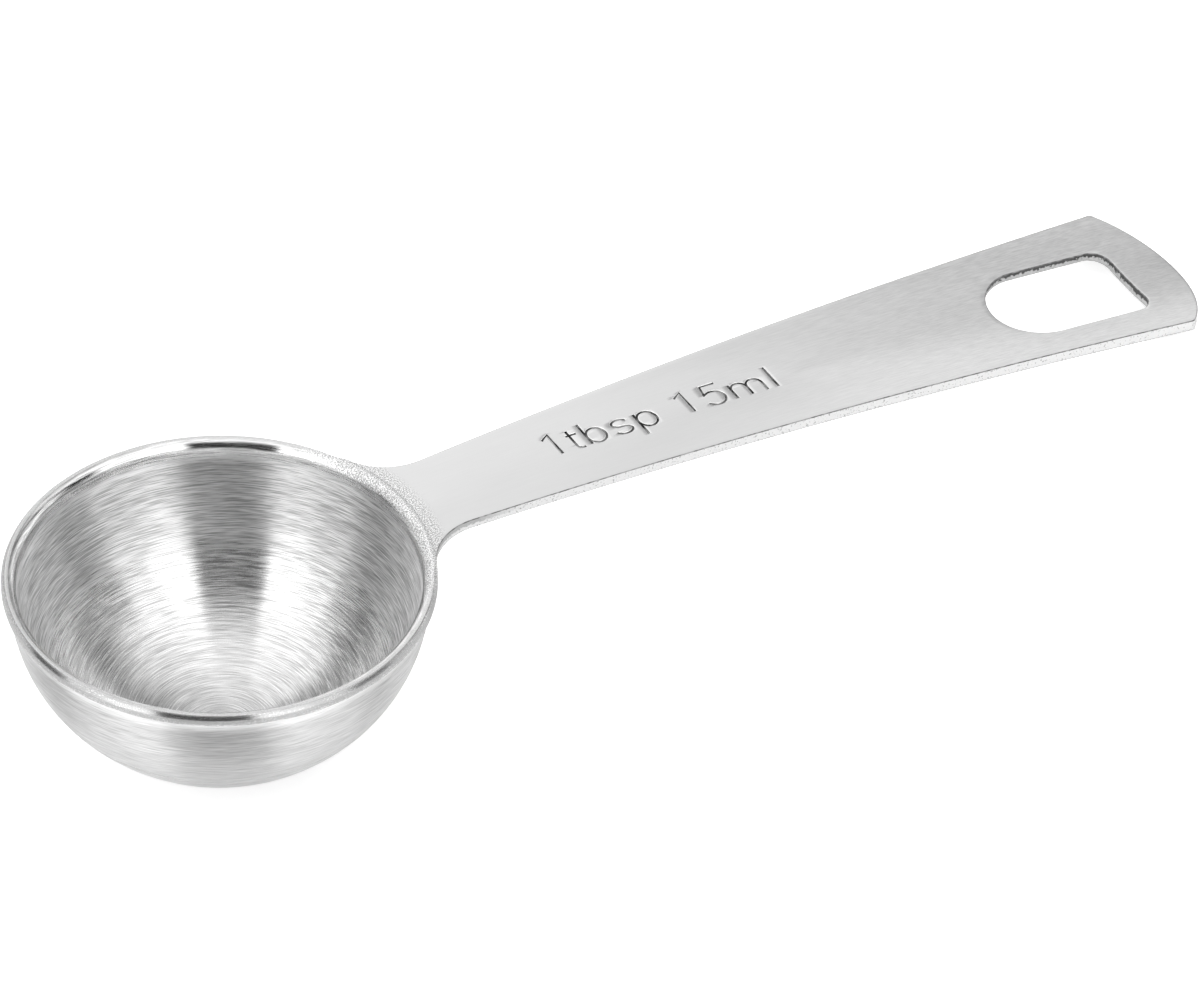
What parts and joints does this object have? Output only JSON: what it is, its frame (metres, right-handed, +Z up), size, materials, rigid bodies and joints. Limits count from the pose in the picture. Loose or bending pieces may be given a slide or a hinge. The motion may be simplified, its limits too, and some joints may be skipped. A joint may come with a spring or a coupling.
{
  "type": "measuring spoon",
  "caption": "Measuring spoon with a deep round bowl, a narrow level rim, and a long arched handle that widens to a rounded tip with a hanging slot.",
  "frame": {"origin": "on the surface that the spoon lies on, under the middle of the box round the whole spoon; the spoon lies as it would on a worktop, on the bowl's belly and the handle's tip", "axes": "+X from the bowl towards the handle's tip, +Z up; the bowl's own axis leans 6.77 degrees from +Z towards +X"},
  "size_m": [0.1264, 0.041, 0.0223],
  "materials": {
    "steel": "brushed"
  },
  "bodies": {
    "root": {"bowl": "steel", "handle": "steel"}
  },
  "joints": []
}
